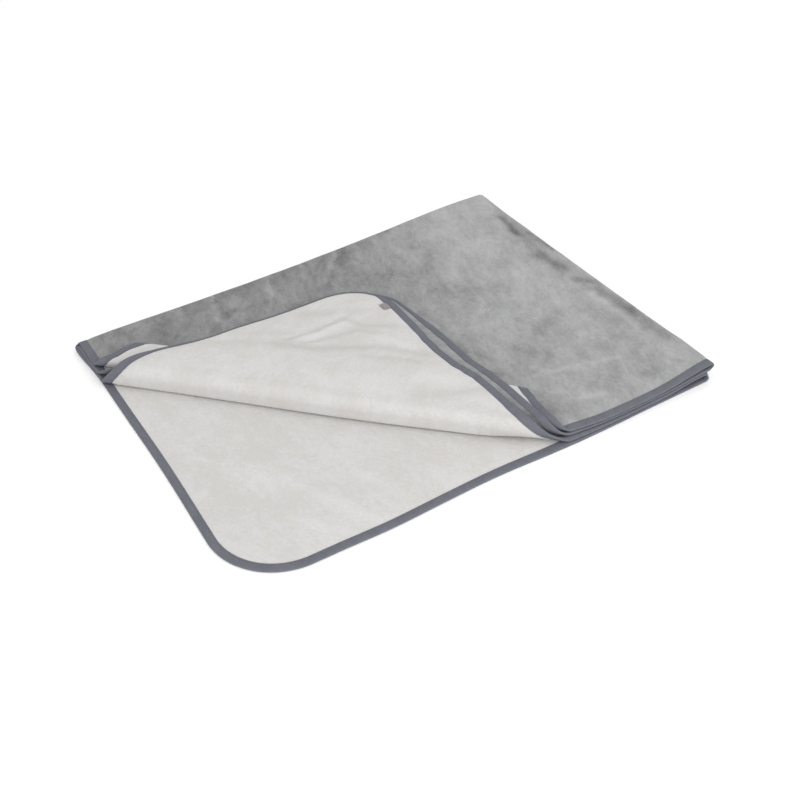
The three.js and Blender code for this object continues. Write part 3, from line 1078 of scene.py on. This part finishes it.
def nap_and_shading_values():
    x, y = plan_of(grey)
    slanted = x + NAP_SLANT * (HALF_WIDTH - y)
    value = NAP_LOOSE_END + NAP_LIGHTENS * step(slanted, 555, 330)
    ply = ply_of(grey_flat[:, 0], grey_flat[:, 1])
    # Painted shade on the turned grey corner's strip under the white one, darkest towards the
    # front.
    value = value - STRIP_PAINTED_SHADE * (ply == 3) * (1 - step(y, 40, 130))
    uneven_x, uneven_y = wandered(x, y, NAP_WANDER, NAP_WANDER_SIZES)
    for row in NAP_AND_SHADING_MARKS:
        mark = NapAndShadingMark(*row)
        value = value + (ply == 4) * mark.shade * along_line(mark, uneven_x, uneven_y)
    return value


write_attribute(grey, "nap_and_shading", nap_and_shading_values())

# %% [markdown]
# The sherpa gets painted shade in a trough and a painted highlight on a ridge. So the white
# cloth gets the heights of its creases as an attribute too.

# %% Write the crease attribute
def crease_values():
    x, y = plan_of(white)
    ply = ply_of(white_flat[:, 0], white_flat[:, 1])
    value = np.zeros(len(x))
    for number in (1, 2):
        mine = ply == number
        value[mine] = creased(number, x[mine], y[mine])
    return value


write_attribute(white, "creased", crease_values())

# %% [markdown]
# ## Building blocks for the materials
# A material is a network of nodes. put adds one node with its settings and its inputs, which may
# be plain values or other nodes' outputs, so a material reads from top to bottom. What several
# materials share is a node group: a small network with named inputs and outputs.

# %% Helpers for nodes
def put(tree, kind, inputs=None, **settings):
    node = tree.nodes.new(kind)
    for key, value in settings.items():
        setattr(node, key, value)
    for key, value in (inputs or {}).items():
        if isinstance(value, bpy.types.NodeSocket):
            tree.links.new(value, node.inputs[key])
        else:
            node.inputs[key].default_value = value
    return node


def new_group(name, inputs, outputs):
    tree = bpy.data.node_groups.new(name, "ShaderNodeTree")
    for key, kind in inputs.items():
        tree.interface.new_socket(key, in_out="INPUT", socket_type=kind)
    for key, kind in outputs.items():
        tree.interface.new_socket(key, in_out="OUTPUT", socket_type=kind)
    return tree, tree.nodes.new("NodeGroupInput").outputs, tree.nodes.new("NodeGroupOutput").inputs


def math(tree, operation, a, b=0.0, c=0.0):
    node = put(tree, "ShaderNodeMath", {0: a, 1: b, 2: c}, operation=operation)
    return node.outputs[0]


def mix(tree, factor, a, b, blend="MIX"):
    node = put(tree, "ShaderNodeMix", {0: factor, 6: a, 7: b}, data_type="RGBA", blend_type=blend)
    return node.outputs[2]


def vector_math(tree, operation, a, b):
    return put(tree, "ShaderNodeVectorMath", {0: a, 1: b}, operation=operation).outputs[0]


def noise_texture(tree, vector, scale, **sockets):
    return put(tree, "ShaderNodeTexNoise", {"Vector": vector, "Scale": scale, **sockets}).outputs


def eased(tree, value, low, high):
    sockets = {"Value": value, "From Min": low, "From Max": high}
    node = put(tree, "ShaderNodeMapRange", sockets, interpolation_type="SMOOTHSTEP")
    return node.outputs["Result"]


# %% [markdown]
# ### Pile
# Both cloths are knitted with a pile: the fleece's is short and brushed, the sherpa's is longer
# and curls into small tufts. One group serves both. It mixes fine fibres, which are noise drawn
# out along one way, with round tufts, and Curl says how much of the tufts there is. A slow noise
# first bends the places that both are drawn at, so that no two rows look alike.

# %% The pile group
BEND_SCALE = 140.0
BEND_REACH = 0.003
FIBRES_PER_TUFT = 3.2
FIBRES_DRAWN = (1.0, 0.45, 1.0)


def build_pile():
    inputs = {"Vector": "NodeSocketVector", "Tuft": "NodeSocketFloat", "Curl": "NodeSocketFloat"}
    outputs = {"Height": "NodeSocketFloat", "Shade": "NodeSocketFloat"}
    tree, given, result = new_group("pile", inputs, outputs)
    scale = math(tree, "DIVIDE", 1.0, given["Tuft"])
    bend = noise_texture(tree, given["Vector"], BEND_SCALE, Detail=2.0)["Color"]
    shift = vector_math(tree, "MULTIPLY", bend, (BEND_REACH, BEND_REACH, 0))
    place = vector_math(tree, "ADD", given["Vector"], shift)
    tuft = put(
        tree,
        "ShaderNodeTexVoronoi",
        {"Vector": place, "Scale": scale, "Smoothness": 0.8},
        feature="SMOOTH_F1",
    )
    round_top = math(tree, "SUBTRACT", 1.0, tuft.outputs["Distance"])
    drawn = put(tree, "ShaderNodeMapping", {"Vector": place, "Scale": FIBRES_DRAWN}).outputs[0]
    fine = math(tree, "MULTIPLY", scale, FIBRES_PER_TUFT)
    fibre = noise_texture(tree, drawn, fine, Detail=5.0, Roughness=0.62)["Fac"]
    sockets = {0: given["Curl"], 2: fibre, 3: round_top}
    height = put(tree, "ShaderNodeMix", sockets, data_type="FLOAT").outputs[0]
    tree.links.new(height, result["Height"])
    tree.links.new(eased(tree, height, 0.25, 0.85), result["Shade"])
    return tree


PILE = build_pile()
print("the pile group has", len(PILE.nodes), "nodes")

# %% [markdown]
# ### Soft patches
# Hands and folding brush the pile this way and that, which leaves cloudy patches. The group is
# one rough noise, drawn out and turned to the way that the nap was brushed, and eased into a
# mask. The fleece, the sherpa, the tape and the label all use it, each with its own size.

# %% The patches group
BRUSHED_WAY = 0.29
BRUSHED_OUT = (0.8, 1.45, 1.0)


def build_patches():
    inputs = {"Vector": "NodeSocketVector", "Size": "NodeSocketFloat", "Soft": "NodeSocketFloat"}
    tree, given, result = new_group("soft patches", inputs, {"Mask": "NodeSocketFloat"})
    scale = math(tree, "DIVIDE", 1.0, given["Size"])
    brushed = put(
        tree,
        "ShaderNodeMapping",
        {"Vector": given["Vector"], "Rotation": (0, 0, BRUSHED_WAY), "Scale": BRUSHED_OUT},
        vector_type="TEXTURE",
    ).outputs[0]
    rough = {"Detail": 5.0, "Roughness": 0.9, "Lacunarity": 2.1, "Distortion": 0.25}
    cloud = noise_texture(tree, brushed, scale, **rough)["Fac"]
    low = math(tree, "SUBTRACT", 0.5, given["Soft"])
    high = math(tree, "ADD", 0.5, given["Soft"])
    tree.links.new(eased(tree, cloud, low, high), result["Mask"])
    return tree


PATCHES = build_patches()
print("the patches group has", len(PATCHES.nodes), "nodes")

# %% [markdown]
# ### Weave
# The tape and the label are woven, so threads pass over and under each other. Two waves at right
# angles, each following one way of the cloth, give that relief: where one thread is up, the
# other is down.

# %% The weave group
def build_weave():
    inputs = {"Vector": "NodeSocketVector", "Thread": "NodeSocketFloat"}
    tree, given, result = new_group("weave", inputs, {"Height": "NodeSocketFloat"})
    turns = math(tree, "DIVIDE", pi, given["Thread"])
    parts = put(tree, "ShaderNodeSeparateXYZ", {0: given["Vector"]})
    along = math(tree, "SINE", math(tree, "MULTIPLY", parts.outputs[0], turns))
    across = math(tree, "SINE", math(tree, "MULTIPLY", parts.outputs[1], turns))
    crossing = math(tree, "MULTIPLY", along, across)
    ridges = math(tree, "MAXIMUM", math(tree, "ABSOLUTE", along), math(tree, "ABSOLUTE", across))
    tree.links.new(math(tree, "MULTIPLY_ADD", crossing, 0.5, ridges), result["Height"])
    return tree


WEAVE = build_weave()
print("node groups:", [group.name for group in bpy.data.node_groups])

# %% [markdown]
# ## The materials
# Each material is a Principled shader with its constants set on its own sockets. Colour and bump
# come from the groups, on the cloth's UV map, which is the flat cloth in metres. In each of them
# a number beside a pattern is the share that it has in the colour.

# %% Start a cloth material
def start_material(name, **constants):
    material = bpy.data.materials.new(name)
    material.use_nodes = True
    tree = material.node_tree
    shader = tree.nodes["Principled BSDF"]
    shader.inputs["IOR"].default_value = 1.45
    for key, value in constants.items():
        shader.inputs[key.replace("_", " ")].default_value = value
    flat = put(tree, "ShaderNodeUVMap", uv_map="cloth").outputs["UV"]
    return material, tree, shader, flat


def group(tree, which, **inputs):
    return put(tree, "ShaderNodeGroup", inputs, node_tree=which).outputs


def bumped(tree, height, depth, strength, **normal):
    sockets = {"Height": height, "Distance": depth, "Strength": strength, **normal}
    return put(tree, "ShaderNodeBump", sockets).outputs["Normal"]


def finish_material(tree, shader, colour, normal):
    tree.links.new(normal, shader.inputs["Normal"])
    tree.links.new(colour, shader.inputs["Base Color"])


# %% [markdown]
# ### Grey fleece
# Brushed fleece is dull and mottled, with a faint sheen where it curves away. A picture of real
# fleece would repeat over a blanket of this size, so the mottling is made of patches of two
# sizes, the nap and painted shading that the mesh carries, and the shade between the fibres.
# Together they pick a grey between the darkest and the lightest one.

# %% Grey fleece
GREY_DARK = (0.082, 0.082, 0.083, 1)
GREY_LIGHT = (0.420, 0.420, 0.422, 1)


def grey_fleece():
    material, tree, shader, flat = start_material(
        "brushed_fleece",
        Roughness=0.92,
        Sheen_Weight=0.25,
        Sheen_Roughness=0.45,
        Specular_IOR_Level=0.2,
    )
    nap_and_shading = put(tree, "ShaderNodeAttribute", attribute_name="nap_and_shading").outputs["Fac"]
    cloud = group(tree, PATCHES, Vector=flat, Size=0.055, Soft=0.3)["Mask"]
    crushed = group(tree, PATCHES, Vector=flat, Size=0.13, Soft=0.09)["Mask"]
    pile = group(tree, PILE, Vector=flat, Tuft=0.0035, Curl=0.15)
    level = math(tree, "MULTIPLY_ADD", cloud, 0.46, math(tree, "SUBTRACT", nap_and_shading, 0.32))
    level = math(tree, "MULTIPLY_ADD", crushed, 0.10, level)
    level = math(tree, "MULTIPLY_ADD", pile["Shade"], 0.10, level)
    colour = mix(tree, level, GREY_DARK, GREY_LIGHT)
    soft = bumped(tree, cloud, 0.0012, 0.35)
    finish_material(tree, shader, colour, bumped(tree, pile["Height"], 0.0006, 0.5, Normal=soft))
    return material


fleece = grey_fleece()
print(fleece.name, "is made of", len(fleece.node_tree.nodes), "nodes")

# %% [markdown]
# ### White sherpa
# Sherpa is off-white, a little warmer in patches, with painted shade deep between its tufts.
# The creases that the mesh carries get a painted highlight on a ridge and painted shade in a
# trough, because the shallow shapes alone hardly show in such soft light.

# %% White sherpa
WHITE_LIGHT = (0.612, 0.604, 0.594, 1)
WHITE_WARM = (0.567, 0.551, 0.531, 1)
# The last two are the colours of painted shade and of a painted highlight on a crease's ridge.
WHITE_PAINTED_SHADE = (0.465, 0.455, 0.438, 1)
PAINTED_RIDGE_HIGHLIGHT = (0.680, 0.672, 0.665, 1)


def white_sherpa():
    material, tree, shader, flat = start_material(
        "curled_sherpa",
        Roughness=0.95,
        Sheen_Weight=0.2,
        Sheen_Roughness=0.6,
        Specular_IOR_Level=0.15,
    )
    crease = put(tree, "ShaderNodeAttribute", attribute_name="creased").outputs["Fac"]
    cloud = group(tree, PATCHES, Vector=flat, Size=0.09, Soft=0.12)["Mask"]
    pile = group(tree, PILE, Vector=flat, Tuft=0.0055, Curl=0.6)
    tinted = mix(tree, cloud, WHITE_LIGHT, WHITE_WARM)
    # Painted shade in a crease's trough and a painted highlight on its ridge.
    trough = math(tree, "MAXIMUM", math(tree, "MULTIPLY", crease, -1), 0)
    trough_shade = math(tree, "MULTIPLY", trough, 0.3)
    ridge_highlight = math(tree, "MULTIPLY", math(tree, "MAXIMUM", crease, 0), 0.35)
    tinted = mix(tree, ridge_highlight, tinted, PAINTED_RIDGE_HIGHLIGHT)
    # Painted shade deep between the tufts, and in the troughs, mixes in the shaded white.
    shaded = math(tree, "SUBTRACT", 1.0, pile["Shade"])
    shaded = math(tree, "MULTIPLY_ADD", shaded, 0.2, trough_shade)
    colour = mix(tree, shaded, tinted, WHITE_PAINTED_SHADE)
    soft = bumped(tree, cloud, 0.0015, 0.3)
    finish_material(tree, shader, colour, bumped(tree, pile["Height"], 0.0012, 0.45, Normal=soft))
    return material


sherpa = white_sherpa()
print(sherpa.name, "is made of", len(sherpa.node_tree.nodes), "nodes")

# %% [markdown]
# ### Tape, thread and label
# The tape and the label are both plain weave, so one function makes both, each with its own
# thread and colours. The sewing thread is too thin for a weave to show, so a fine noise stands
# for its twist.

# %% Woven tape, its thread, and the label
TAPE_DARK = (0.105, 0.110, 0.133, 1)
TAPE_LIGHT = (0.165, 0.170, 0.198, 1)
LABEL_SATIN = (0.315, 0.270, 0.262, 1)
LABEL_SHADE = (0.245, 0.212, 0.206, 1)
THREAD_SCALE = 900.0


def woven(name, dark, light, thread, patch, **constants):
    material, tree, shader, flat = start_material(name, **constants)
    cloud = group(tree, PATCHES, Vector=flat, Size=patch, Soft=0.25)["Mask"]
    height = group(tree, WEAVE, Vector=flat, Thread=thread)["Height"]
    # The weave's height paints a highlight where a thread stands up and shade where it dips.
    level = math(tree, "MULTIPLY_ADD", cloud, 0.65, math(tree, "MULTIPLY", height, 0.25))
    colour = mix(tree, level, dark, light)
    finish_material(tree, shader, colour, bumped(tree, height, 0.0003, 0.6))
    return material


def spun_thread():
    material, tree, shader, flat = start_material(
        "tape_thread", Roughness=0.7, Sheen_Weight=0.1, Specular_IOR_Level=0.3
    )
    strand = noise_texture(tree, flat, THREAD_SCALE, Detail=2.0)["Fac"]
    colour = mix(tree, strand, TAPE_DARK, TAPE_LIGHT)
    finish_material(tree, shader, colour, bumped(tree, strand, 0.0002, 0.5))
    return material


FINISHES = [
    (grey, fleece),
    (white, sherpa),
    (tape, woven("woven_tape", TAPE_DARK, TAPE_LIGHT, 0.0007, 0.03, Roughness=0.75)),
    (stitches, spun_thread()),
    (label, woven("label_satin", LABEL_SHADE, LABEL_SATIN, 0.0005, 0.012, Roughness=0.5)),
]
for piece, material in FINISHES:
    piece.data.materials.append(material)
    print(piece.name, "wears", material.name)

# %% [markdown]
# ## What each piece stands for
# Each piece rides on the blanket's one body and takes the place of its plain solid.

# %% Ride and replace
RIDES = [
    (grey, "grey_fleece", "grey_cloth"),
    (white, "white_sherpa", "white_cloth"),
    (tape, "edge_tape", "edge_tape"),
    (stitches, "edge_tape", None),
    (label, "label", "label"),
]
for piece, slot, node in RIDES:
    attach(piece, "root")
    if node:
        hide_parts(node)

# %% [markdown]
# ## Floor, light and camera
# The blanket lies on plain white paper. A bright world and three soft lamps leave only faint
# shadows, as in a shop: one above at the front right, one above at the back left, and a low one
# in front that brings out the open edge. The camera looks down at the loose end, from where the
# blanket's corners stand to each other as they do in the photo.

# %% Floor
FLOOR_SIDE = 14.0
bm = bmesh.new()
bmesh.ops.create_grid(bm, x_segments=1, y_segments=1, size=FLOOR_SIDE / 2)
floor_mesh = bpy.data.meshes.new("floor")
bm.to_mesh(floor_mesh)
bm.free()
floor = add_object("floor", floor_mesh)
paper = bpy.data.materials.new("white_paper")
paper.use_nodes = True
paper_shader = paper.node_tree.nodes["Principled BSDF"]
PAPER = {
    "Base Color": (0.94, 0.94, 0.94, 1),
    "Roughness": 1.0,
    "Specular IOR Level": 0.0,
    "Emission Color": (1, 1, 1, 1),
    "Emission Strength": 0.07,
}
for key, value in PAPER.items():
    paper_shader.inputs[key].default_value = value
floor_mesh.materials.append(paper)
floor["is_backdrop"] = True
print("the floor is", FLOOR_SIDE, "m wide")

# %% Light
scene = bpy.context.scene
scene.view_settings.view_transform = "Standard"
world = bpy.data.worlds.new("studio")
world.use_nodes = True
sky = world.node_tree.nodes["Background"]
sky.inputs["Color"].default_value = (1, 1, 1, 1)
sky.inputs["Strength"].default_value = 0.88
scene.world = world

Lamp = namedtuple("Lamp", "name x y z size power")
LAMPS = [
    Lamp("front_right_softbox", 1.6, -1.8, 2.6, 2.4, 24),
    Lamp("back_left_softbox", -1.8, 1.4, 2.8, 2.4, 12),
    Lamp("low_front_softbox", -0.9, -2.7, 0.5, 1.8, 34),
]
for row in LAMPS:
    data = bpy.data.lights.new(row.name, "AREA")
    data.size = row.size
    data.energy = row.power
    lamp = add_object(row.name, data)
    lamp.location = (row.x, row.y, row.z)
    lamp.rotation_euler = (-Vector(lamp.location)).to_track_quat("-Z", "Y").to_euler()
print("lamps:", [row.name for row in LAMPS])

# %% Camera
CAMERA_PLACE = (-0.845627, -1.382009, 1.302065)
LOOKS_ROUND = radians(32.346)
LOOKS_DOWN = radians(40.927)
IMAGE_SIDE = 800
FOCAL_PIXELS = 1044.932
SENSOR = 36

camera_data = bpy.data.cameras.new("camera")
camera_data.sensor_width = SENSOR
camera_data.lens = FOCAL_PIXELS / IMAGE_SIDE * SENSOR
camera = add_object("camera", camera_data)
camera.location = CAMERA_PLACE
camera.rotation_euler = (pi / 2 - LOOKS_DOWN, 0, -LOOKS_ROUND)
scene.camera = camera
print("lens", round(camera_data.lens, 2), "mm")

# %% Print the sizes and finish
sizes = {"cad": cad_box, "scene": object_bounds()}
plain = {key: [[float(v) for v in corner] for corner in box] for key, box in sizes.items()}
print(plain)
